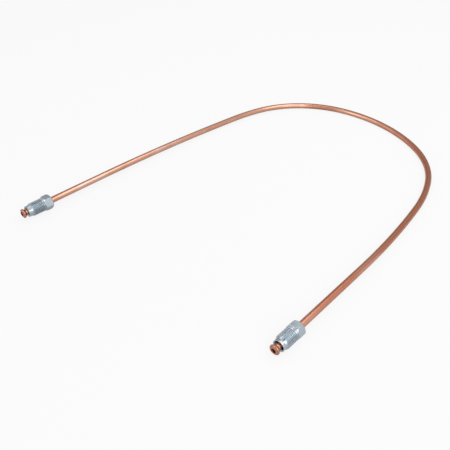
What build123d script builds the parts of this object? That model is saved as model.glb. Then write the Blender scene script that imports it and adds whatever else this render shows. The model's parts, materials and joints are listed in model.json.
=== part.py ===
from build123d import *
from math import asin, degrees, radians, sqrt, tan
import os

# A formed hydraulic brake line, lying flat as it comes to rest.
# One copper tube is bent into an open U and has a bubble flare at each end.
# A steel flare nut with a male thread sits loose on the tube behind each flare.
# Lengths are in millimetres and angles in degrees.

# Tube
tube_diameter = 4.75
tube_wall = 0.7

# Route of the tube's centre line, from the left tip to the right tip.
# The end runs are straight, and every bend between them turns to the right.
left_run_heading = 44.9
left_run_length = 69.5
left_bow_radius = 1340.0
left_bow_turn = 6.1
entry_bend_radius = 165.0
entry_bend_turn = 8.9
shoulder_bend_radius = 82.0
shoulder_bend_turn = 60.2
crown_bend_radius = 107.5
crown_bend_turn = 42.8
return_bend_radius = 82.5
return_bend_turn = 36.3
exit_bend_radius = 150.0
exit_bend_turn = 14.6
right_bow_radius = 620.0
right_bow_turn = 7.7
right_run_length = 93.7

# Flare: depths are measured along the tube from its tip
flare_diameter = 7.1
flare_mouth_diameter = 3.5
flare_mouth_depth = 0.3
flare_lip_diameter = 4.1
flare_face_diameter = 5.8
flare_face_depth = 0.5
flare_rim_depth = 1.2
flare_rim_width = 0.3
flare_back_angle = 45.0

# Flare nut: lengths follow one another along its axis from the nose
thread_diameter = 9.97
nose_diameter = 8.2
nose_length = 2.2
nose_edge = 0.2
lead_in_length = 1.8
thread_length = 8.8
neck_diameter = 9.4
neck_length = 0.5
hex_width = 10.0
hex_length = 6.4
hex_front_diameter = 9.5
hex_front_chamfer = 1.2
hex_back_diameter = 9.4
hex_back_chamfer = 1.1
bore_clearance = 0.1
seat_diameter = 7.4
seat_angle = 45.0
back_countersink_diameter = 5.8
back_countersink_angle = 45.0

# Distance from each tip back to its nut's nose
left_nut_setback = 4.1
right_nut_setback = 4.7

tube_radius = tube_diameter / 2
tube_bore_radius = tube_radius - tube_wall
flare_radius = flare_diameter / 2
flare_rim_end = flare_rim_depth + flare_rim_width
flare_length = flare_rim_end + (flare_radius - tube_radius) / tan(radians(flare_back_angle))
nut_bore_radius = tube_radius + bore_clearance
thread_start = nose_length + lead_in_length
thread_end = thread_start + thread_length
hex_start = thread_end + neck_length
nut_length = hex_start + hex_length
hex_corner_radius = hex_width / sqrt(3)


def turned(profile):
    """Turns a profile of (radius, depth) around the Z axis."""
    return revolve(Plane.XZ * make_face(profile), Axis.Z)


def centre_line():
    """The route in the XY plane, with the left tip at the origin."""
    bends = (
        (left_bow_radius, left_bow_turn),
        (entry_bend_radius, entry_bend_turn),
        (shoulder_bend_radius, shoulder_bend_turn),
        (crown_bend_radius, crown_bend_turn),
        (return_bend_radius, return_bend_turn),
        (exit_bend_radius, exit_bend_turn),
        (right_bow_radius, right_bow_turn),
    )
    # The flares take up the first and the last stretch of the straight runs.
    left_tip = PolarLine((0, 0), flare_length, left_run_heading)
    stretches = [PolarLine(left_tip @ 1, left_run_length - flare_length, left_run_heading)]
    for radius, turn in bends:
        before = stretches[-1]
        stretches.append(JernArc(before @ 1, before % 1, radius, -turn))
    before = stretches[-1]
    right_run = right_run_length - flare_length
    stretches.append(PolarLine(before @ 1, right_run, direction=before % 1))
    return Wire([stretch.edge() for stretch in stretches])


def end_plane(centre, along):
    """The frame of one end: its origin at the tip, Z along the tube, X up."""
    start = 0 if along > 0 else 1
    inward = (centre % start) * along
    return Plane((centre @ start) - inward * flare_length, x_dir=(0, 0, 1), z_dir=inward)


def make_flare():
    """A bubble flare with its tip at the origin and the tube's bore through it."""
    mouth = (flare_mouth_diameter / 2, 0)
    lip = (flare_lip_diameter / 2, 0)
    crease = (flare_face_diameter / 2, flare_face_depth)
    rim_start = (flare_radius, flare_rim_depth)
    bore_start = (tube_bore_radius, flare_mouth_depth)
    face = Polyline(bore_start, mouth, lip, crease)
    rim = TangentArc(rim_start, crease, tangent=(0, -1))
    back = Polyline(
        rim_start,
        (flare_radius, flare_rim_end),
        (tube_radius, flare_length),
        (tube_bore_radius, flare_length),
        bore_start,
    )
    return turned(face + rim + back)


def make_tube(centre, left_end, right_end):
    """The bent tube with a flare formed at each end, hollow right through."""
    ring = Circle(tube_radius) - Circle(tube_bore_radius)
    bent = sweep(Plane(centre @ 0, z_dir=centre % 0) * ring, path=centre)
    flare = make_flare()
    return bent + left_end * flare + right_end * flare


def make_nut():
    """A flare nut around the Z axis, its nose at the origin, with a flat facing X."""
    nose_radius = nose_diameter / 2
    shank = Polyline(
        (0, 0),
        (nose_radius - nose_edge, 0),
        (nose_radius, nose_edge),
        (nose_radius, nose_length),
        (thread_diameter / 2, thread_start),
        (thread_diameter / 2, thread_end),
        (neck_diameter / 2, thread_end),
        (neck_diameter / 2, hex_start),
        (0, hex_start),
        close=True,
    )
    head = Polyline(
        (0, hex_start),
        (hex_front_diameter / 2, hex_start),
        (hex_corner_radius, hex_start + hex_front_chamfer),
        (hex_corner_radius, nut_length - hex_back_chamfer),
        (hex_back_diameter / 2, nut_length),
        (0, nut_length),
        close=True,
    )
    hexagon = RegularPolygon(hex_width / 2, 6, major_radius=False, rotation=30)
    prism = extrude(Pos(0, 0, hex_start) * hexagon, hex_length)
    seat_radius = seat_diameter / 2
    back_radius = back_countersink_diameter / 2
    seat_depth = (seat_radius - nut_bore_radius) / tan(radians(seat_angle))
    back_depth = (back_radius - nut_bore_radius) / tan(radians(back_countersink_angle))
    passage = Polyline(
        (0, 0),
        (seat_radius, 0),
        (nut_bore_radius, seat_depth),
        (nut_bore_radius, nut_length - back_depth),
        (back_radius, nut_length),
        (0, nut_length),
        close=True,
    )
    return turned(shank) + (turned(head) & prism) - turned(passage)


def rest_location(pieces, centre, left_end, right_end):
    """Lays the flat assembly on its two hexes and the far side of the bend."""
    hex_middle = hex_start + hex_length / 2
    left_hex = left_end.location * Pos(0, 0, left_nut_setback + hex_middle)
    right_hex = right_end.location * Pos(0, 0, right_nut_setback + hex_middle)
    hinge = Plane(left_hex.position, x_dir=right_hex.position - left_hex.position, z_dir=(0, 0, 1))
    reach = hinge.to_local_coords(centre).bounding_box().max.Y
    drop = hex_width / 2 - tube_radius
    tilt = Rotation(-degrees(asin(drop / reach)), 0, 0)
    lean = hinge.location * tilt * hinge.location.inverse()
    box = Compound([lean * piece for piece in pieces]).bounding_box()
    middle = box.center()
    return Pos(-middle.X, -middle.Y, -box.min.Z) * lean


centre = centre_line()
left_end = end_plane(centre, 1)
right_end = end_plane(centre, -1)
nut = make_nut()
flat = {
    "brake_tube": make_tube(centre, left_end, right_end),
    "left_flare_nut": left_end * Pos(0, 0, left_nut_setback) * nut,
    "right_flare_nut": right_end * Pos(0, 0, right_nut_setback) * nut,
}
rest = rest_location(flat.values(), centre, left_end, right_end)

os.makedirs("parts", exist_ok=True)
for name, piece in flat.items():
    export_step(rest * piece, f"parts/{name}.step")

developed_length = centre.length + 2 * flare_length
print(f"developed length of the tube {developed_length:.1f} mm")
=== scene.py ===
# %% [markdown]
# # A copper brake line with two flare nuts
# The object is one copper tube, bent into an open U, with a bubble flare formed at each end and a
# zinc-plated flare nut sitting loose behind each flare. The imported model is the frame for this
# lesson: it says where every piece is, in metres, and nothing here moves a piece of it.

# %% Load the imported frame
import json
import math

import bpy
import numpy as np
from mathutils import Matrix, Vector


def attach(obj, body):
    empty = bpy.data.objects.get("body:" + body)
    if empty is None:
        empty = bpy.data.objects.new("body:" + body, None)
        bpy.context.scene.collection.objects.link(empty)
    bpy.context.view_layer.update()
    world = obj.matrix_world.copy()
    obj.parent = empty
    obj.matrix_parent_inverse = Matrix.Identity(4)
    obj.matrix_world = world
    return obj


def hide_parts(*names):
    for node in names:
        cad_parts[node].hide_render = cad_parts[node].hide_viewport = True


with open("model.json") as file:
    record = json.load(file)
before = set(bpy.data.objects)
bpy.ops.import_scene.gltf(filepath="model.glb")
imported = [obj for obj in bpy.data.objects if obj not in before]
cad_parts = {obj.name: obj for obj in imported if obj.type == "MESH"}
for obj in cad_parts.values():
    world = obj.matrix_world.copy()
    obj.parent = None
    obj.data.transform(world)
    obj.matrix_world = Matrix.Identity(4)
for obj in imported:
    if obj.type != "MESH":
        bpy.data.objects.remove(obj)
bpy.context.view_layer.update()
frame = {"nodes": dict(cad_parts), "record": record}
scene = bpy.context.scene
MM = 0.001
print("pieces in the frame:", ", ".join(sorted(frame["nodes"])))

# %% [markdown]
# ## Where the two ends are
# The tube and the nuts are turned shapes, so each is easiest to draw round an axis of its own. The
# frame's mounts give those axes: a flare seat is the tip of the tube, and a thread is the middle of
# a nut's threaded length. An end is then three directions at its tip: inward along the tube, up
# from the plane that the bent tube lies in, and sideways. Sideways is inward cross up, so that the
# three are right-handed and a thread drawn with them turns the right way.

# %% The axes of the two ends
mounts = {mount["name"]: mount for mount in frame["record"]["mounts"]}


def mount_place(name):
    """The place of a mount, and the direction from it into the line."""
    mount = mounts[name]
    return Vector(mount["pos_m"]), -Vector(mount["axis"]).normalized()


left_tip, left_inward = mount_place("left_flare_seat")
right_tip, right_inward = mount_place("right_flare_seat")
tube_up = (right_tip - left_tip).cross(left_inward).normalized()
print("the tube's plane leans by", round(math.degrees(tube_up.angle((0, 0, 1))), 2), "degrees")

# %% [markdown]
# ## The route of the tube
# A tube bender works from a table: run straight, bend to a radius through an angle, bend again,
# run straight. The same table draws the centre line here. A curve object with hand-placed points
# would be quicker to sketch, but its radii would only be near the real ones.

# %% The bend table
LEFT_RUN = 69.5 * MM
RIGHT_RUN = 93.7 * MM
BENDS = (
    # radius, turn to the right in degrees
    (1340.0 * MM, 6.1),
    (165.0 * MM, 8.9),
    (82.0 * MM, 60.2),
    (107.5 * MM, 42.8),
    (82.5 * MM, 36.3),
    (150.0 * MM, 14.6),
    (620.0 * MM, 7.7),
)
stretches = [(LEFT_RUN, 0.0)]
stretches += [(radius * math.radians(turn), math.radians(turn)) for radius, turn in BENDS]
stretches += [(RIGHT_RUN, 0.0)]
tube_length = sum(length for length, turn in stretches)
print("the bends turn", round(sum(turn for radius, turn in BENDS), 1), "degrees in all")

# %% [markdown]
# ## Walking along the route
# To bend a straight tube, its place and heading have to be known at any distance from the left tip.
# A curve object can be sampled for them, but only at the points that it was made of. A walk along
# the table finds them exactly, run by run and arc by arc, and it can be proved: after the last run
# it has to arrive at the right tip.

# %% A walk along the table
def walk(distance):
    """The centre line's place and heading at a distance from the left tip."""
    place, heading = left_tip.copy(), left_inward.copy()
    for length, turn in stretches:
        part = min(distance / length, 1.0)
        if turn:
            pivot = place + heading.cross(tube_up) * (length / turn)
            swing = Matrix.Rotation(-turn * part, 3, tube_up)
            place = pivot + swing @ (place - pivot)
            heading = swing @ heading
        else:
            place = place + heading * (length * part)
        distance -= length
        if distance <= 0:
            break
    return place, heading


miss = (walk(tube_length)[0] - right_tip).length
print(f"the tube is {tube_length / MM:.1f} mm long; the walk misses its right tip by {miss / MM:.4f} mm")

# %% [markdown]
# ## One way to make every mesh
# Tube and nut are both a closed outline taken round an axis: up the outside and back through the
# bore. So one helper serves them all. It takes a grid of points, where a row is one point of the
# outline taken all the way round, and joins each row to the next and the last row to the first.
# The mesh is watertight by construction. Each point also remembers two things for the finishes to
# read later. The attribute own_frame is where it is on its own straight axis, so that draw lines
# follow the tube round its bends. The attribute fold is how much painted shade the finish puts
# there, from 0 on open metal to 1 deep in a groove.

# %% A helper that skins a grid of points
def volume_of(mesh):
    """The volume inside a closed mesh; it is negative if its faces look inward."""
    places = np.array([vertex.co for vertex in mesh.vertices])
    corners = np.array([polygon.vertices for polygon in mesh.polygons])
    first, second, third, fourth = (places[corners[:, k]] for k in range(4))
    halves = np.cross(second, third) + np.cross(third, fourth)
    return float(np.sum(first * halves)) / 6


def skin(name, places, own_frame, fold):
    """A closed mesh over a grid of points, smooth shaded with its large faces kept flat."""
    rows, columns = places.shape[:2]
    index = np.arange(rows * columns).reshape(rows, columns)
    beside = np.roll(index, -1, axis=1)
    faces = np.stack([index, beside, np.roll(beside, -1, axis=0), np.roll(index, -1, axis=0)], axis=-1)
    mesh = bpy.data.meshes.new(name)
    mesh.from_pydata(places.reshape(-1, 3).tolist(), [], faces.reshape(-1, 4).tolist())
    if volume_of(mesh) < 0:
        mesh.flip_normals()
    mesh.shade_smooth()
    attribute = mesh.attributes.new("own_frame", "FLOAT_VECTOR", "POINT")
    attribute.data.foreach_set("vector", own_frame.astype(np.float32).ravel())
    # fold holds the amount of painted shade at each point
    depth = mesh.attributes.new("fold", "FLOAT", "POINT")
    depth.data.foreach_set("value", fold.astype(np.float32).ravel())
    piece = bpy.data.objects.new(name, mesh)
    scene.collection.objects.link(piece)
    piece.modifiers.new("flat faces stay flat", "WEIGHTED_NORMAL").keep_sharp = True
    volume = volume_of(mesh) / MM**3
    print(f"{name}: {2 * len(mesh.polygons)} triangles, {volume:.0f} cubic mm")
    return piece


print("each mesh will carry own_frame and fold")

# %% [markdown]
# ## Rounded corners
# No edge on a real part is perfectly sharp, and the thin bright line that a rounded edge catches is
# much of what makes metal look real. A Bevel modifier could round them after the mesh is made. Here
# the outline's corners are rounded before it goes round the axis, which costs a few points a corner
# and gives each edge its own size.

# %% A helper that rounds the corners of an outline
ROUNDING_STEPS = 3
MOST_OF_A_SIDE = 0.48    # how far a rounding may reach along the shorter side of its corner


def rounded(corners):
    """Points of an outline of (along, radius, rounding) corners; the first and last stay sharp."""
    points = [np.array(corners[0][:2])]
    for before, corner, after in zip(corners, corners[1:], corners[2:]):
        here = np.array(corner[:2])
        back = np.array(before[:2]) - here
        on = np.array(after[:2]) - here
        shorter = min(np.linalg.norm(back), np.linalg.norm(on))
        back /= np.linalg.norm(back)
        on /= np.linalg.norm(on)
        half = math.acos(np.clip(back @ on, -1, 1)) / 2
        reach = min(corner[2] / math.tan(half), MOST_OF_A_SIDE * shorter)
        centre = here + (back + on) * (reach / (2 * math.cos(half) ** 2))
        sweep = math.pi - 2 * half
        for step in range(ROUNDING_STEPS + 1):
            turned = sweep * step / ROUNDING_STEPS
            start = (here + back * reach - centre) * math.sin(sweep - turned)
            end = (here + on * reach - centre) * math.sin(turned)
            points.append(centre + (start + end) / math.sin(sweep))
    points.append(np.array(corners[-1][:2]))
    return points


print("a corner is rounded with", ROUNDING_STEPS + 1, "points")

# %% [markdown]
# ## The copper tube and its bubble flares
# A flaring tool presses the end of the tube back on itself. That leaves a flat lip round the bore, a
# shallow cone, a crease where the metal folded, and a full round rim that the nut will push on from
# behind. It could be modelled by hand, one loop cut after another. As an outline, each feature is
# one line of a table with its true size. The rim is drawn as a quarter circle and the rest as
# rounded corners. The right flare is the left one read backwards.

# %% The flare's outline
TUBE_RADIUS = 4.75 / 2 * MM
BORE_RADIUS = 3.35 / 2 * MM
FLARE_RADIUS = 7.1 / 2 * MM
FLARE_DEPTH = 2.675 * MM
MOUTH_DEPTH = 0.3 * MM
LIP_RADII = (1.75 * MM, 2.05 * MM)
CONE_END = (0.38 * MM, 2.696 * MM)
CREASE_START = (0.46 * MM, 2.832 * MM)
CREASE = (0.52 * MM, 2.88 * MM)
RIM_DEPTH = 1.2 * MM
RIM_WIDTH = 0.3 * MM
RIM_ROUND = 0.7 * MM
RIM_ROUND_STEPS = 7
RIM_FROM, RIM_TURN = math.radians(172), math.radians(82)
PLAIN_TUBE = 1.0 * MM


def flare_outline():
    """The flare from the bore, over the lip and the rim, to the plain tube behind it."""
    face = rounded([
        # along, radius, rounding
        (2 * MOUTH_DEPTH, BORE_RADIUS, 0),
        (MOUTH_DEPTH, BORE_RADIUS, 0.1 * MM),
        (0, LIP_RADII[0], 0.06 * MM),
        (0, LIP_RADII[1], 0.12 * MM),
        (*CONE_END, 0),
    ])
    face += [np.array(CREASE_START), np.array(CREASE)]
    rim = []
    for step in range(RIM_ROUND_STEPS):
        angle = RIM_FROM - RIM_TURN * step / RIM_ROUND_STEPS
        along = RIM_DEPTH + RIM_ROUND * math.cos(angle)
        rim.append(np.array((along, FLARE_RADIUS - RIM_ROUND + RIM_ROUND * math.sin(angle))))
    back = rounded([
        (RIM_DEPTH, FLARE_RADIUS, 0),
        (RIM_DEPTH + RIM_WIDTH, FLARE_RADIUS, 0.3 * MM),
        (FLARE_DEPTH, TUBE_RADIUS, 0.5 * MM),
        (FLARE_DEPTH + PLAIN_TUBE, TUBE_RADIUS, 0),
    ])
    return np.array(face + rim + back)


flare = flare_outline()
print("the flare's outline has", len(flare), "points")

# %% [markdown]
# ## The bent tube in one mesh
# A real line is one piece of metal from tip to tip, and its bore runs right through. So its mesh is
# one closed outline too: the left flare, the outside, the right flare, and back through the bore. A
# curve with a bevel would bend a plain tube with less work, but it can't form the flares.

# %% The tube's outline
OUTSIDE_STEP = 2.4 * MM
BORE_STEP = 4.8 * MM


def even_steps(start, end, step):
    """Distances between two places, about a step apart, without the two ends."""
    return np.linspace(start, end, int(abs(end - start) / step) + 2)[1:-1]


def tube_outline():
    """Both flares with the outside between them, and back through the bore."""
    far_flare = flare[::-1] * (-1, 1) + (tube_length, 0)
    outside = even_steps(flare[-1][0], far_flare[0][0], OUTSIDE_STEP)
    bore = even_steps(far_flare[-1][0], flare[0][0], BORE_STEP)
    return np.concatenate([
        flare,
        np.stack([outside, np.full(len(outside), TUBE_RADIUS)], axis=1),
        far_flare,
        np.stack([bore, np.full(len(bore), BORE_RADIUS)], axis=1),
    ])


outline = tube_outline()
print("the tube's outline has", len(outline), "points")

# %% [markdown]
# ## Painted shade on the tube
# Painted shade darkens the crease of both flares, the tube just behind the left one, and both
# mouths, more of it on the left. It could be painted in Vertex Paint mode. Every point of the outline
# already knows its distance and its radius, so a rule can put the shade exactly where the creases are.

# %% The painted shade on the tube
# Painted shade: the tube's colour is darkened in the flares' creases, behind the left flare and in the
# bores.
CREASE_REACH = 0.1 * MM
ROOT_REACH = 0.4 * MM
ROOT_PAINTED_SHADE = (0.25, 0.0)    # behind the left flare and behind the right one
MOUTH_PAINTED_SHADE = (0.9, 0.35)
MOUTH_EDGE = 0.07 * MM


def near(points, point, reach):
    """1 where a point is, fading to 0 at a distance from it."""
    return np.clip(1 - np.linalg.norm(points - point, axis=1) / reach, 0, 1)


def tube_painted_shade(along, radius):
    """How much painted shade goes in a flare's crease, behind a flare and in a mouth."""
    left = along < tube_length / 2
    from_tip = np.stack([np.minimum(along, tube_length - along), radius], axis=1)
    crease = near(from_tip, CREASE, CREASE_REACH)
    root = np.where(left, *ROOT_PAINTED_SHADE) * near(from_tip, (FLARE_DEPTH, TUBE_RADIUS), ROOT_REACH)
    mouth = np.where(left, *MOUTH_PAINTED_SHADE) * (radius < BORE_RADIUS + MOUTH_EDGE)
    return crease + root + mouth


painted_shade_on_tube = tube_painted_shade(outline[:, 0], outline[:, 1])
print("the darkest point of the tube has", round(float(painted_shade_on_tube.max()), 2))

# %% [markdown]
# ## The tube, ring by ring
# Each point of the outline becomes a ring of points that stands square to the route, at its own
# distance along it. A Curve modifier can bend a straight tube too, but it needs a curve object
# beside the tube. The walk bends the rings once, and nothing else has to be kept.

# %% The tube
TUBE_COLUMNS = 48


def make_tube():
    """The bent tube with both flares, as rings of points square to its route."""
    angles = np.linspace(0, 2 * math.pi, TUBE_COLUMNS, endpoint=False)
    places, own_frame = [], []
    for along, radius in outline:
        centre, heading = walk(along)
        side = np.array(heading.cross(tube_up))
        across, up = radius * np.cos(angles), radius * np.sin(angles)
        places.append(np.array(centre) + np.outer(across, side) + np.outer(up, np.array(tube_up)))
        own_frame.append(np.stack([np.full(TUBE_COLUMNS, along), across, up], axis=1))
    fold = np.repeat(painted_shade_on_tube[:, None], TUBE_COLUMNS, axis=1)
    return skin("copper_tube", np.array(places), np.array(own_frame), fold)


tube = make_tube()
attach(tube, "tube")
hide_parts("brake_tube")

# %% [markdown]
# ## The thread of a nut
# The thread is M10 with a 1 mm pitch, and it was rolled, which leaves its crests and roots round.
# Seen from the side it is a wave: a rounded crest, a flank of 60 degrees and a rounded root. The
# wave moves on by one pitch for each turn, and that makes the helix. A Screw modifier can spin such
# a wave, but then the thread has to be cut into the lead-in and faded out at its end by hand. As a
# formula for the radius, the lead-in is a smaller-of, and the fading run-out limits the depth.

# %% The thread as a radius
PITCH = 1.0 * MM
THREAD_RADIUS = 9.97 / 2 * MM
THREAD_DEPTH = 0.613 * PITCH
FLANK_SLOPE = math.tan(math.radians(60))
CREST_ROUND = PITCH / 2 - THREAD_DEPTH / FLANK_SLOPE
NOSE_RADIUS = 8.2 / 2 * MM
NOSE_LENGTH = 2.2 * MM
LEAD_IN_END = NOSE_LENGTH + 1.8 * MM
THREAD_END = LEAD_IN_END + 8.8 * MM
RUN_OUT = 1.2 * MM


def thread_radius(along, angle):
    """The nut's radius at a place along it and round it, between the nose and the neck."""
    from_crest = np.abs((along - PITCH * angle / (2 * math.pi) + PITCH / 2) % PITCH - PITCH / 2)
    from_root = PITCH / 2 - from_crest
    crest = np.minimum(from_crest, CREST_ROUND)
    root = np.minimum(from_root, CREST_ROUND)
    flank = from_crest - crest - (CREST_ROUND - root)
    cut = FLANK_SLOPE * (crest**2 + CREST_ROUND**2 - root**2) / (2 * CREST_ROUND) + FLANK_SLOPE * flank
    fade = np.clip((along - THREAD_END + RUN_OUT) / RUN_OUT, 0, 1)
    cut = np.minimum(cut, THREAD_DEPTH * (1 - fade**2))
    slope = (THREAD_RADIUS - NOSE_RADIUS) / (LEAD_IN_END - NOSE_LENGTH)
    lead_in = NOSE_RADIUS + (along - NOSE_LENGTH) * slope
    return np.minimum(THREAD_RADIUS - cut, lead_in)


print("turns of thread:", round((THREAD_END - LEAD_IN_END) / PITCH, 1))

# %% [markdown]
# ## The hexagon of a nut
# A hexagon head is a hexagonal bar whose two ends were turned to a cone in the lathe. Where the cone
# meets a flat, the edge is a shallow curve, lowest at the corners, and that curve is what the eye
# expects on every nut. A boolean could cut it. Here each column of points round the nut works out
# where the cone meets its own bit of the hexagon, so the curve is exact and the mesh stays tidy.

# %% The hexagon as a radius
HEX_START = THREAD_END + 0.5 * MM
HEX_HALF = 10.0 / 2 * MM
HEX_CORNER = HEX_HALF / math.cos(math.radians(30))
CORNER_ROUND = 0.25 * MM
NUT_LENGTH = HEX_START + 6.4 * MM
EVEN_COLUMNS = 120
BESIDE_CORNER = (-1.3, -0.6, 0.6, 1.3)


def hexagon_radius(angle):
    """The radius of a hexagon with rounded corners and a flat at angle 0."""
    off_flat = abs((angle + math.pi / 6) % (math.pi / 3) - math.pi / 6)
    off_corner = math.pi / 6 - off_flat
    flat_end = math.atan((HEX_HALF - CORNER_ROUND) * math.tan(math.pi / 6) / HEX_HALF)
    if off_flat <= flat_end:
        return HEX_HALF / math.cos(off_flat)
    middle = (HEX_HALF - CORNER_ROUND) / math.cos(math.pi / 6)
    rise = math.sqrt(CORNER_ROUND**2 - (middle * math.sin(off_corner)) ** 2)
    return middle * math.cos(off_corner) + rise


def hexagon_columns():
    """Angles round the nut, evenly spaced, with more beside each of the six corners."""
    even = [math.radians(360 / EVEN_COLUMNS * k) for k in range(EVEN_COLUMNS)]
    corners = [math.radians(30 + 60 * k) for k in range(6)]
    beside = [corner + math.radians(shift) for corner in corners for shift in BESIDE_CORNER]
    return np.array(sorted(even + beside))


nut_columns = hexagon_columns()
print("columns round a nut:", len(nut_columns))

# %% [markdown]
# ## The outline of a nut
# A nut's outline runs from its mouth over the nose, the thread, the neck and the hexagon, and back
# through the bore that clears the tube. The seat in its mouth is the cone that presses on the back
# of the flare. The thread and the hexagon change on the way round, so each column has an outline of
# its own, and because all of them have the same number of points they still join into one mesh. Two
# meshes and a boolean would leave long thin faces where thread and hexagon meet.

# %% The nut's outline at one column
THREAD_ROWS = 212
NECK_STEP = 0.1 * MM
NUT_BORE = TUBE_RADIUS + 0.1 * MM
MOUTH_RADIUS = 7.4 / 2 * MM
NECK_RADIUS = 9.4 / 2 * MM
FRONT_FACE = 9.5 / 2 * MM
FRONT_CHAMFER = 1.2 * MM
BACK_FACE = 9.4 / 2 * MM
BACK_CHAMFER = 1.1 * MM
BACK_MOUTH = 5.8 / 2 * MM
FLARED_FOOT = 0.02 * MM


def nut_outline(angle):
    """The nut's closed outline at an angle round it."""
    across = hexagon_radius(angle)
    front = (across - FRONT_FACE) / (HEX_CORNER - FRONT_FACE) * FRONT_CHAMFER
    back = (across - BACK_FACE) / (HEX_CORNER - BACK_FACE) * BACK_CHAMFER
    nose = rounded([
        # along, radius, rounding
        (MOUTH_RADIUS - NUT_BORE, NUT_BORE, 0),
        (0, MOUTH_RADIUS, 0.08 * MM),
        (0, NOSE_RADIUS, 0.25 * MM),
        (NOSE_LENGTH, NOSE_RADIUS, 0),
    ])
    along = np.linspace(NOSE_LENGTH, THREAD_END, THREAD_ROWS)
    thread = np.stack([along, thread_radius(along, angle)], axis=1)
    head = rounded([
        (THREAD_END, thread[-1][1], 0),
        (THREAD_END + NECK_STEP, NECK_RADIUS, 0.05 * MM),
        (HEX_START, NECK_RADIUS, 0.08 * MM),
        (HEX_START, FRONT_FACE + FLARED_FOOT, 0.01 * MM),
        (HEX_START + front, across, 0.15 * MM),
        (NUT_LENGTH - back, across, 0.15 * MM),
        (NUT_LENGTH, BACK_FACE, 0.1 * MM),
        (NUT_LENGTH, BACK_MOUTH, 0.08 * MM),
        (NUT_LENGTH - BACK_MOUTH + NUT_BORE, NUT_BORE, 0),
    ])
    return np.concatenate([nose[:-1], thread, head[1:]])


outlines = np.array([nut_outline(angle) for angle in nut_columns]).transpose(1, 0, 2)
print("points in a nut's outline:", len(outlines))

# %% [markdown]
# ## Painted shade on a nut
# Painted shade darkens the roots of the thread, less of it on the lead-in, and fills the neck.
# Ambient Occlusion can find such places, but it darkens the mouth and the underside as well. The
# radius says it better: the deeper a point lies under the crest of the thread, the more shade.

# %% The painted shade on a nut
# Painted shade: a nut's colour is darkened at the roots of the thread and in the neck.
THREAD_PAINTED_SHADE = 0.4
NECK_EDGE = 0.05 * MM
HAIR = 0.01 * MM    # takes in, or leaves out, the points that lie just on an edge
WALL = 1.0 * MM     # keeps the bore's points apart from the outside's


def nut_painted_shade(along, radius):
    """How much painted shade goes at the thread's roots and in the neck."""
    outside = (along > NOSE_LENGTH) & (along < HEX_START + HAIR) & (radius > NUT_BORE + WALL)
    lead_in = np.clip((along - NOSE_LENGTH) / (LEAD_IN_END - NOSE_LENGTH), 0, 1)
    depth = np.clip((THREAD_RADIUS - radius) / THREAD_DEPTH, 0, 1)
    neck = outside & (along > THREAD_END + NECK_EDGE) & (along < HEX_START - HAIR)
    return np.maximum(THREAD_PAINTED_SHADE * outside * lead_in * depth**2, neck)


painted_shade_on_nut = nut_painted_shade(outlines[..., 0], outlines[..., 1])
print("share of a nut's points with dirt:", round(float((painted_shade_on_nut > 0).mean()), 2))

# %% [markdown]
# ## Two nuts on their ends
# Both nuts are the same part, so one function makes them and sets each on its own end, where its
# thread mount is, a little behind the flare. Two objects that share one mesh would look the same.
# Here each nut has a mesh of its own, already in place, and rides on its own body.

# %% Both nuts
def make_nut(side_name, inward):
    """One flare nut, put where the frame's thread mount is."""
    thread_middle = mount_place(side_name + "_thread")[0]
    origin = np.array(thread_middle - inward * (LEAD_IN_END + THREAD_END) / 2)
    along, radius = outlines[..., 0], outlines[..., 1]
    up, across = radius * np.cos(nut_columns), radius * np.sin(nut_columns)
    sideways = inward.cross(tube_up)
    places = origin + sum(
        part[..., None] * np.array(direction)
        for part, direction in ((along, inward), (up, tube_up), (across, sideways))
    )
    own_frame = np.stack([along, across, up], axis=-1)
    nut = skin(side_name + "_zinc_nut", places, own_frame, painted_shade_on_nut)
    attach(nut, side_name + "_nut")
    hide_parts(side_name + "_flare_nut")
    return nut


nuts = [make_nut("left", left_inward), make_nut("right", right_inward)]

# %% [markdown]
# ## Effects that both metals share
# Copper and zinc are different colours, but three things happen to both. The tool that made the
# surface left fine lines, the surface is cloudy where it has tarnished or been handled, and there
# are a few small scratches. Each is a node group with its own inputs, built once. All of them read
# own_frame, so a pattern sticks to the metal and follows every bend. Nodes can be wired by hand in
# the shader editor. In a script a few helpers do the wiring: each takes either another node's
# output, which it links, or a fixed number, which it sets.

# %% Helpers for wiring nodes
def add(tree, kind, **settings):
    """A new shader node with its settings."""
    node = tree.nodes.new("ShaderNode" + kind)
    for name, value in settings.items():
        setattr(node, name, value)
    return node


def feed(tree, socket, value):
    """Links an output into a socket, or sets the socket to a fixed value."""
    if isinstance(value, bpy.types.NodeSocket):
        tree.links.new(value, socket)
    else:
        socket.default_value = value


def calc(tree, operation, *values):
    """The result of a Math node."""
    node = add(tree, "Math", operation=operation)
    for socket, value in zip(node.inputs, values):
        feed(tree, socket, value)
    return node.outputs["Value"]


def map_range(tree, value, low, high, start=0.0, end=1.0, smooth=False):
    """Goes from low to high while a value goes from start to end."""
    node = add(tree, "MapRange", interpolation_type="SMOOTHSTEP" if smooth else "LINEAR")
    settings = {"Value": value, "From Min": start, "From Max": end, "To Min": low, "To Max": high}
    for label, setting in settings.items():
        feed(tree, node.inputs[label], setting)
    return node.outputs["Result"]


print("wiring helpers:", add.__name__, feed.__name__, calc.__name__, map_range.__name__)

# %% [markdown]
# ## Groups of nodes
# A node group is to nodes what a function is to code: it is made once, its sockets are its
# arguments, and each material places it with values of its own. A whole finish could go into one
# group, but small groups that do one thing each can be mixed, as copper and zinc do here.

# %% Helpers for a node group
def new_group(name, inputs, output):
    """A node group that takes own_frame and some numbers, with its input and output nodes."""
    group = bpy.data.node_groups.new(name, "ShaderNodeTree")
    group.interface.new_socket("Own Frame", in_out="INPUT", socket_type="NodeSocketVector")
    for label, value in inputs.items():
        socket = group.interface.new_socket(label, in_out="INPUT", socket_type="NodeSocketFloat")
        socket.default_value = value
    group.interface.new_socket(output, in_out="OUTPUT", socket_type="NodeSocketFloat")
    return group, group.nodes.new("NodeGroupInput"), group.nodes.new("NodeGroupOutput")


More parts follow.
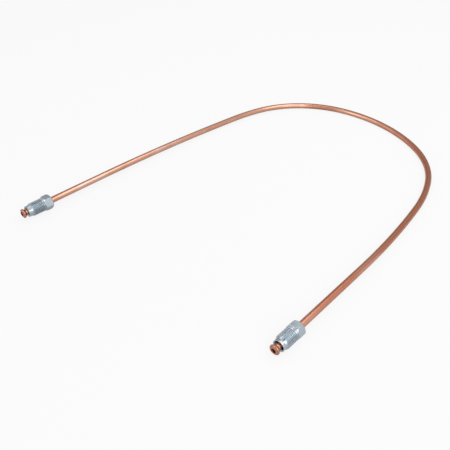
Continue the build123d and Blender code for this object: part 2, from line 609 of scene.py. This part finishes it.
def place_group(tree, group, own_frame, **values):
    """The output of a group that is placed in a material with its own values."""
    node = add(tree, "Group", node_tree=group)
    tree.links.new(own_frame, node.inputs["Own Frame"])
    for label, value in values.items():
        node.inputs[label].default_value = value
    return node.outputs[0]


def divided(tree, vector, size):
    """A vector divided by a size, so that one unit of it is that size on the object."""
    node = add(tree, "VectorMath", operation="SCALE")
    tree.links.new(vector, node.inputs[0])
    tree.links.new(calc(tree, "DIVIDE", 1.0, size), node.inputs["Scale"])
    return node.outputs["Vector"]


def noise(tree, place, detail):
    """A Noise Texture's value at a place, with about one blob to each unit."""
    node = add(tree, "TexNoise")
    node.inputs["Scale"].default_value = 1.0
    node.inputs["Detail"].default_value = detail
    tree.links.new(place, node.inputs["Vector"])
    return node.outputs["Fac"]


print("group helpers:", new_group.__name__, place_group.__name__, divided.__name__, noise.__name__)

# %% [markdown]
# ## Tool lines
# A die leaves lines that run along the tube, and a lathe leaves lines that run round the nut. Both
# are noise that changes slowly one way and fast the other. A Wave Texture draws lines too, but they
# are evenly spaced, and real tool lines aren't. The two counts per metre turn one group into either.

# %% The tool lines
LINE_DETAIL = 3.0


def tool_lines_group():
    """Fine lines; the two counts per metre set which way they run."""
    group, start, end = new_group("tool lines", {"Along": 60.0, "Across": 6000.0}, "Height")
    counts = add(group, "CombineXYZ")
    for label, axis in (("Along", "X"), ("Across", "Y"), ("Across", "Z")):
        group.links.new(start.outputs[label], counts.inputs[axis])
    scaled = add(group, "VectorMath", operation="MULTIPLY")
    group.links.new(start.outputs["Own Frame"], scaled.inputs[0])
    group.links.new(counts.outputs["Vector"], scaled.inputs[1])
    group.links.new(noise(group, scaled.outputs["Vector"], LINE_DETAIL), end.inputs["Height"])
    return group


tool_lines = tool_lines_group()
print("made the group", tool_lines.name)

# %% [markdown]
# ## Clouds
# Tarnish and handling leave soft patches with no clear edge. A noise has such patches, but most of
# it is middling. Two levels cut it into bare, covered and a soft step between, and moving both
# levels together changes how much of the metal is covered. A Color Ramp could do that too, but its
# stops can't be moved from outside a group.

# %% The clouds
CLOUD_DETAIL = 4.0
CLOUD_LEVELS = (0.85, 1.15)    # where a patch starts and where it is full, before the share comes off


def clouds_group():
    """Soft patches of a size in metres, from 0 to 1, over a share of the surface."""
    group, start, end = new_group("clouds", {"Size": 0.01, "Share": 0.5}, "Amount")
    place = divided(group, start.outputs["Own Frame"], start.outputs["Size"])
    lower, upper = (calc(group, "SUBTRACT", level, start.outputs["Share"]) for level in CLOUD_LEVELS)
    amount = map_range(group, noise(group, place, CLOUD_DETAIL), 0.0, 1.0, lower, upper, smooth=True)
    group.links.new(amount, end.inputs["Amount"])
    return group


clouds = clouds_group()
print("made the group", clouds.name)

# %% [markdown]
# ## Scratches
# A bench leaves a few thin, slanting scratches. They could be drawn one by one. Here they are the
# narrow band where a smooth, stretched noise crosses one level, as a map's contour line is: it is
# thin, it wanders a little, and it costs nothing to have many.

# %% The scratches
SCRATCH_TURN = (0.5, 0.3, 0.4)
SCRATCH_STRETCH = (0.25, 2.0, 1.0)
SCRATCH_LEVEL = 0.62


def scratches_group():
    """Thin scratches, 1 on the line and 0 beside it, about a spacing in metres apart."""
    group, start, end = new_group("scratches", {"Spacing": 0.006, "Width": 0.01}, "Amount")
    turned = add(group, "VectorRotate", rotation_type="EULER_XYZ")
    turned.inputs["Rotation"].default_value = SCRATCH_TURN
    group.links.new(start.outputs["Own Frame"], turned.inputs["Vector"])
    stretched = add(group, "VectorMath", operation="MULTIPLY")
    stretched.inputs[1].default_value = SCRATCH_STRETCH
    place = divided(group, turned.outputs["Vector"], start.outputs["Spacing"])
    group.links.new(place, stretched.inputs[0])
    height = noise(group, stretched.outputs["Vector"], 0.0)
    off_line = calc(group, "ABSOLUTE", calc(group, "SUBTRACT", height, SCRATCH_LEVEL))
    amount = map_range(group, off_line, 1.0, 0.0, 0.0, start.outputs["Width"])
    group.links.new(amount, end.inputs["Amount"])
    return group


scratches = scratches_group()
print("made the group", scratches.name)

# %% [markdown]
# ## A bare metal
# Both finishes start from a Principled BSDF with Metallic at 1, where Base Color is the colour of the
# reflections. The colour is built as a painter builds it, in layers: a base, then one layer after
# another, each with a mask that says where it shows. Painted shade in the grooves goes on last. The
# shader stays in the material, because the export can't read it inside a group.

# %% Helpers for a metal
LINE_DEPTH = 0.03 * MM
LINE_STRENGTH = 0.25


def read(tree, attribute, output):
    """One output of the node that reads an attribute of the mesh."""
    return add(tree, "Attribute", attribute_name=attribute).outputs[output]


def new_metal(name, roughness):
    """A material whose Principled BSDF is a bare metal, with its tree and shader."""
    material = bpy.data.materials.new(name)
    material.use_nodes = True
    shader = material.node_tree.nodes["Principled BSDF"]
    shader.inputs["Metallic"].default_value = 1.0
    shader.inputs["Roughness"].default_value = roughness
    return material, material.node_tree, shader


def blend_colour(tree, amount, first, second):
    """Mixes two colours by an amount; either may be an output or a fixed colour."""
    mix = add(tree, "Mix", data_type="RGBA")
    tree.links.new(amount, mix.inputs["Factor"])
    for label, colour in (("A", first), ("B", second)):
        socket = next(s for s in mix.inputs if s.name == label and s.type == "RGBA")
        feed(tree, socket, (*colour, 1.0) if isinstance(colour, tuple) else colour)
    return next(s for s in mix.outputs if s.type == "RGBA")


def layered_colour(tree, base, layers, painted_shade, most_painted_shade):
    """A base colour, layers of (mask, colour) over it, and painted shade where the fold attribute is
    deep.
    """
    colour = base
    for mask, layer in layers:
        colour = blend_colour(tree, mask, colour, layer)
    return blend_colour(tree, map_range(tree, read(tree, "fold", "Fac"), 0, most_painted_shade), colour, painted_shade)


def engrave(tree, shader, own_frame, **counts):
    """Cuts tool lines into the shader's normal through a Bump node."""
    bump = add(tree, "Bump")
    bump.inputs["Strength"].default_value = LINE_STRENGTH
    bump.inputs["Distance"].default_value = LINE_DEPTH
    tree.links.new(place_group(tree, tool_lines, own_frame, **counts), bump.inputs["Height"])
    tree.links.new(bump.outputs["Normal"], shader.inputs["Normal"])


print("tool lines are", LINE_DEPTH / MM, "mm deep at strength", LINE_STRENGTH)

# %% [markdown]
# ## Where the copper is fresh and where it isn't
# New copper tube is pink and bright. Air and hands turn it browner, unevenly. The left leg and the
# crown of the bend are fresh, and the rest has gone browner, which is a slow change with the
# distance along the tube, though both ends stay fresh beside their nuts. Hands leave patches too:
# one past the crown is tarnished, and one on the right leg has been rubbed. Two paler patches on the
# left leg are a painted highlight. Such places could be painted on the mesh by hand. As masks of one
# number, the distance that own_frame holds in X, they stay right however the mesh is divided.

# %% The copper's zones
FRESH_UNTIL = 0.31
HANDLED_FROM = 0.42
FRESH_END = (0.015, 0.055)
# two paler patches on the left leg are a painted highlight
PAINTED_HIGHLIGHT_AT = (0.060, 0.137)
TARNISHED_AT = 0.301
TARNISHED_MOST = 0.6
RUBBED_AT = 0.572
LEFT_WHERE_RUBBED = 0.45
PATCH_CORE = 0.008
PATCH_REACH = 0.020
FORMED_FADE = 0.6 * MM


def patch_at(tree, along, middle):
    """1 at a place along the tube, fading to 0 on both sides of it."""
    away = calc(tree, "ABSOLUTE", calc(tree, "SUBTRACT", along, middle))
    return map_range(tree, away, 1.0, 0.0, PATCH_CORE, PATCH_REACH, smooth=True)


def copper_zones(tree, own_frame):
    """Masks of how handled and tarnished the copper is, of the painted highlight, and of the pressed
    flares with painted shade.
    """
    parts = add(tree, "SeparateXYZ")
    tree.links.new(own_frame, parts.inputs["Vector"])
    along = parts.outputs["X"]
    from_tip = calc(tree, "MINIMUM", along, calc(tree, "SUBTRACT", tube_length, along))
    worn = map_range(tree, along, 0.0, 1.0, FRESH_UNTIL, HANDLED_FROM, smooth=True)
    off_end = map_range(tree, from_tip, 0.0, 1.0, *FRESH_END, smooth=True)
    kept = map_range(tree, patch_at(tree, along, RUBBED_AT), 1.0, LEFT_WHERE_RUBBED)
    handled = calc(tree, "MULTIPLY", calc(tree, "MULTIPLY", worn, off_end), kept)
    # a painted highlight: two paler patches on the left leg
    painted_highlight = calc(tree, "MAXIMUM", *(patch_at(tree, along, middle) for middle in PAINTED_HIGHLIGHT_AT))
    tarnished = map_range(tree, patch_at(tree, along, TARNISHED_AT), 0.0, TARNISHED_MOST)
    # the pressed flares: browner copper, with painted shade added to their colour
    pressed_and_shaded = map_range(tree, from_tip, 1.0, 0.0, FLARE_DEPTH - FORMED_FADE, FLARE_DEPTH)
    return handled, painted_highlight, tarnished, pressed_and_shaded


print("the tube goes from fresh to handled", FRESH_UNTIL, "to", HANDLED_FROM, "m from its left tip")

# %% [markdown]
# ## Copper
# Over the zones lie two sizes of tarnish cloud and the scratches, which show fresh metal. The flares
# were pressed by a tool, so they are duller and browner than the drawn tube, and part of their
# darker colour is painted shade. Handled copper is also rougher, which spreads its highlights, and
# painted shade in a fold has no shine at all. One plain roughness would make the tube look like
# enamelled wire.

# %% The copper finish
FRESH_COPPER = (0.66, 0.35, 0.25)
# the paler colour of the painted highlight on the left leg
PAINTED_HIGHLIGHT_COPPER = (0.70, 0.42, 0.33)
HANDLED_COPPER = (0.58, 0.235, 0.145)
# the pressed flares' colour: browner copper darkened further by painted shade
PRESSED_AND_SHADED_COPPER = (0.50, 0.235, 0.165)
TARNISH = (0.42, 0.16, 0.10)
# the colour of the painted shade in the creases, behind the left flare and in the bores
COPPER_PAINTED_SHADE = (0.14, 0.05, 0.03)
COPPER_ROUGHNESS = (0.2, 0.3)    # from bright metal to the middle of a cloud
HANDLED_ROUGHER = 0.1


def copper_finish():
    """Drawn copper that goes from fresh to handled along the tube, with clouds of tarnish."""
    material, tree, shader = new_metal("drawn copper", COPPER_ROUGHNESS[0])
    own_frame = read(tree, "own_frame", "Vector")
    handled, painted_highlight, tarnished, pressed_and_shaded = copper_zones(tree, own_frame)
    wide = place_group(tree, clouds, own_frame, Size=0.016, Share=0.45)
    small = place_group(tree, clouds, own_frame, Size=0.0025, Share=0.4)
    marks = place_group(tree, scratches, own_frame, Spacing=0.005, Width=0.006)
    layers = (
        # a painted highlight on the left leg
        (painted_highlight, PAINTED_HIGHLIGHT_COPPER),
        (handled, HANDLED_COPPER),
        (tarnished, TARNISH),
        # the pressed flares: browner copper with painted shade in it
        (pressed_and_shaded, PRESSED_AND_SHADED_COPPER),
        (map_range(tree, wide, 0, 0.3), TARNISH),
        (map_range(tree, small, 0, 0.15), TARNISH),
        (map_range(tree, marks, 0, 0.3), FRESH_COPPER),
    )
    # painted shade goes on last, where the fold attribute is deep
    colour = layered_colour(tree, FRESH_COPPER, layers, COPPER_PAINTED_SHADE, 0.7)
    tree.links.new(colour, shader.inputs["Base Color"])
    clouded = map_range(tree, wide, *COPPER_ROUGHNESS)
    rubbed_dull = calc(tree, "ADD", clouded, map_range(tree, handled, 0, HANDLED_ROUGHER))
    roughness = calc(tree, "ADD", rubbed_dull, read(tree, "fold", "Fac"))
    tree.links.new(roughness, shader.inputs["Roughness"])
    engrave(tree, shader, own_frame, Along=50.0, Across=7000.0)
    return material


copper = copper_finish()
tube.data.materials.append(copper)
print("finish of the tube:", copper.name)

# %% [markdown]
# ## Zinc plate
# Bright zinc with a clear passivate is a cool pale grey that turns faintly blue, green or violet
# with the thickness of the film. The plate softens the turning marks under it but doesn't hide
# them. So the colour is a cloudy mix of three pale tints, and the lines run round the axis.

# %% The zinc finish
ZINC_BLUE = (0.45, 0.53, 0.58)
ZINC_VIOLET = (0.47, 0.51, 0.57)
ZINC_GREEN = (0.46, 0.55, 0.55)
ZINC_SCRATCH = (0.7, 0.7, 0.7)
# the colour of the painted shade at the thread's roots and in the neck
ZINC_PAINTED_SHADE = (0.10, 0.12, 0.13)
ZINC_ROUGHNESS = (0.17, 0.27)


def zinc_finish():
    """Pale zinc plate over turned steel."""
    material, tree, shader = new_metal("zinc plate", 0.25)
    own_frame = read(tree, "own_frame", "Vector")
    violet = place_group(tree, clouds, own_frame, Size=0.006, Share=0.5)
    green = place_group(tree, clouds, own_frame, Size=0.0035, Share=0.35)
    marks = place_group(tree, scratches, own_frame, Spacing=0.003, Width=0.006)
    layers = (
        (violet, ZINC_VIOLET),
        (map_range(tree, green, 0, 0.7), ZINC_GREEN),
        (map_range(tree, marks, 0, 0.3), ZINC_SCRATCH),
    )
    # painted shade goes on last at the thread's roots and in the neck
    colour = layered_colour(tree, ZINC_BLUE, layers, ZINC_PAINTED_SHADE, 0.9)
    tree.links.new(colour, shader.inputs["Base Color"])
    tree.links.new(map_range(tree, violet, *ZINC_ROUGHNESS), shader.inputs["Roughness"])
    engrave(tree, shader, own_frame, Along=9000.0, Across=150.0)
    return material


zinc = zinc_finish()
for nut in nuts:
    nut.data.materials.append(zinc)
print("finish of the nuts:", zinc.name)

# %% [markdown]
# ## The floor
# The floor is pale paper. Most of what the camera sees of it is plain white light, so it comes out
# white while the lamps stay at the level that suits the metal, and the rest of it keeps the line's
# soft shadow. Brighter lamps would whiten the floor as well, but they would bleach the metal too.

# %% The floor
FLOOR_HALF = 3.0
FLOOR_COLOUR = (0.6, 0.6, 0.6, 1.0)
GLOW_SEEN = 0.85
GLOW_REFLECTED = 0.1


def plane_mesh(name, half_width, half_height):
    """A flat rectangle in the XY plane of its own object, which is no part of the line."""
    mesh = bpy.data.meshes.new(name)
    w, h = half_width, half_height
    mesh.from_pydata([(-w, -h, 0), (w, -h, 0), (w, h, 0), (-w, h, 0)], [], [(0, 1, 2, 3)])
    plane = bpy.data.objects.new(name, mesh)
    scene.collection.objects.link(plane)
    return plane


def floor_finish():
    """White paint that glows for the camera and for reflections, and takes the shadow."""
    material = bpy.data.materials.new("white floor")
    material.use_nodes = True
    tree = material.node_tree
    paint = tree.nodes["Principled BSDF"]
    paint.inputs["Base Color"].default_value = FLOOR_COLOUR
    paint.inputs["Roughness"].default_value = 1.0
    paint.inputs["Specular IOR Level"].default_value = 0.0
    rays = add(tree, "LightPath")
    bounced = calc(tree, "MAXIMUM", rays.outputs["Is Glossy Ray"], rays.outputs["Is Transmission Ray"])
    reflected = calc(tree, "MULTIPLY", bounced, GLOW_REFLECTED)
    share = calc(tree, "MULTIPLY_ADD", rays.outputs["Is Camera Ray"], GLOW_SEEN, reflected)
    glow = add(tree, "Emission")
    both = add(tree, "MixShader")
    tree.links.new(share, both.inputs["Fac"])
    tree.links.new(paint.outputs["BSDF"], both.inputs[1])
    tree.links.new(glow.outputs["Emission"], both.inputs[2])
    tree.links.new(both.outputs["Shader"], tree.nodes["Material Output"].inputs["Surface"])
    return material


floor = plane_mesh("floor", FLOOR_HALF, FLOOR_HALF)
floor.data.materials.append(floor_finish())
print("the floor is", 2 * FLOOR_HALF, "m square")

# %% [markdown]
# ## The white room
# Bare metal has no look of its own: it shows the room. The room here is plain white, as bright as
# white paper in even light, so a metal's colour comes out as it is written. The camera sees the wall
# just as bright as the far floor, so no horizon shows. A backdrop that curves up from the floor
# would hide the horizon too, but the metal would show where it bends.

# %% The white room
FAR_FLOOR = GLOW_SEEN + (1 - GLOW_SEEN) * FLOOR_COLOUR[0]


def white_room():
    """A white world; the camera sees it as bright as the far floor, so no horizon shows."""
    world = bpy.data.worlds.new("white room")
    world.use_nodes = True
    tree = world.node_tree
    walls = tree.nodes["Background"]
    walls.inputs["Color"].default_value = (1.0, 1.0, 1.0, 1.0)
    seen = add(tree, "LightPath").outputs["Is Camera Ray"]
    tree.links.new(map_range(tree, seen, 1.0, FAR_FLOOR), walls.inputs["Strength"])
    return world


scene.world = white_room()
print("the far floor and the wall behind it have the level", round(FAR_FLOOR, 3))

# %% [markdown]
# ## The lamps
# A long lamp hangs over the line and another stands low in front of it, and these two draw the
# highlights. A Sun or a Spot would light the line as well, but metal shows the shape of its lamp, and
# theirs is a hard dot. An area lamp's power is spread over its face, so here the power follows from
# how bright the face should look, and a lamp can grow without growing brighter.

# %% The soft lamps
LAMPS = (
    # name, place, target, width and height, brightness, twist in degrees
    ("over_lamp", (0.325, -0.09, 0.5), (0.325, -0.09, 0), (0.8, 0.22), 1.55, -47),
    ("front_lamp", (0.12, -0.8, 0.5), (0, 0, 0), (0.75, 0.6), 2.0, 0),
)


def aim(thing, place, target, twist=0.0):
    """Puts an object at a place with its -Z pointing at a target, twisted about that line."""
    turn = (Vector(target) - Vector(place)).to_track_quat("-Z", "Y")
    thing.location = place
    thing.rotation_mode = "QUATERNION"
    thing.rotation_quaternion = turn @ Matrix.Rotation(math.radians(twist), 3, "Z").to_quaternion()


def soft_lamp(name, place, target, size, brightness, twist):
    """A rectangular lamp that the camera doesn't see."""
    data = bpy.data.lights.new(name, "AREA")
    data.shape = "RECTANGLE"
    data.size, data.size_y = size
    data.energy = brightness * data.size * data.size_y * math.pi
    lamp = bpy.data.objects.new(name, data)
    aim(lamp, place, target, twist)
    lamp.visible_camera = False
    scene.collection.objects.link(lamp)
    return lamp


for row in LAMPS:
    lamp = soft_lamp(*row)
    print(lamp.name, "has a power of", round(lamp.data.energy, 2), "W")

# %% [markdown]
# ## The cards
# A real studio has more in it than lamps, and metal shows all of it. Four dim cards, which only
# reflections see, give the metal something darker to show: behind the line, above it, to its
# right, and round the camera. Two bright cards on the left are the windows that draw a second
# highlight on the bend. Without cards both metals would look like flat paint. A picture of a real
# studio wrapped round the scene would do the same, but cards can be moved one at a time.

# %% The cards
CARDS = (
    # name, place, target, width and height, brightness at the foot and at the top
    ("back_card", (0, 0.7, 0.6), (0, 0, 0.6), (2.4, 1.16), (0.33, 0.6)),
    ("upper_card", (-0.28, 0.45, 0.8), (-0.28, 0.45, 0), (0.66, 0.6), (0.42, 0.42)),
    ("right_card", (0.8, 0.39, 0.5), (0, 0.39, 0.5), (0.74, 1.0), (0.5, 0.5)),
    ("camera_card", (-0.04, -0.42, 0.47), (0, 0, 0), (0.2, 0.34), (0.05, 0.05)),
    ("window_card", (-0.63, -0.35, 0.47), (0.11, 0.13, 0), (0.2, 0.54), (3.2, 3.2)),
    ("skylight_card", (-0.43, 0.17, 0.71), (0.12, 0.12, 0), (0.22, 0.22), (2.8, 2.8)),
)
CARD_FADE = (0.2, 0.45)    # the share of a card's height where its foot ends and its top begins


def glowing(name, foot, top):
    """A material that glows with one brightness at a card's foot and one at its top."""
    material = bpy.data.materials.new(name)
    material.use_nodes = True
    tree = material.node_tree
    parts = add(tree, "SeparateXYZ")
    tree.links.new(add(tree, "TexCoord").outputs["Generated"], parts.inputs["Vector"])
    glow = add(tree, "Emission")
    tree.links.new(map_range(tree, parts.outputs["Y"], foot, top, *CARD_FADE), glow.inputs["Strength"])
    tree.links.new(glow.outputs["Emission"], tree.nodes["Material Output"].inputs["Surface"])
    return material


def card_seen_by_metal(name, place, target, size, brightness):
    """A card that only reflections see."""
    card = plane_mesh(name, size[0] / 2, size[1] / 2)
    aim(card, place, target)
    card.data.materials.append(glowing(name, *brightness))
    card.visible_camera = False
    card.visible_diffuse = False
    card.visible_shadow = False
    return card


cards = [card_seen_by_metal(*row) for row in CARDS]
print("cards:", ", ".join(card.name for card in cards))

# %% [markdown]
# ## The camera
# The photograph was taken from in front, looking down at the line by about 39 degrees, with a
# lens that was found by fitting the bent tube and both nuts to the picture. The focal length is
# given in pixels of a picture 450 wide, which is how a fitted camera is usually described, and the
# lens in millimetres follows from the sensor's width. A camera can also be set by eye against a
# background image, but a few degrees of error would show in how the hexagons are seen.

# %% The camera
PICTURE_WIDTH = 450.0
FOCAL_PIXELS = 616.0
CAMERA_PLACE = Vector((-6.32, -373.27, 283.01)) * MM
YAW = math.radians(-0.314)
PITCH_DOWN = math.radians(39.327)
ROLL = math.radians(-0.057)
SENSOR_WIDTH = 36.0
NEAREST, FARTHEST = 0.01, 20.0

camera_data = bpy.data.cameras.new("camera")
camera_data.sensor_width = SENSOR_WIDTH
camera_data.lens = FOCAL_PIXELS / PICTURE_WIDTH * SENSOR_WIDTH
camera_data.clip_start = NEAREST
camera_data.clip_end = FARTHEST
camera = bpy.data.objects.new("camera", camera_data)
turn = Matrix.Rotation(-YAW, 4, "Z") @ Matrix.Rotation(math.pi / 2 - PITCH_DOWN, 4, "X")
camera.matrix_world = Matrix.Translation(CAMERA_PLACE) @ turn @ Matrix.Rotation(-ROLL, 4, "Z")
scene.collection.objects.link(camera)
scene.camera = camera
scene.view_settings.view_transform = "Standard"
print("lens in mm:", round(camera_data.lens, 2))
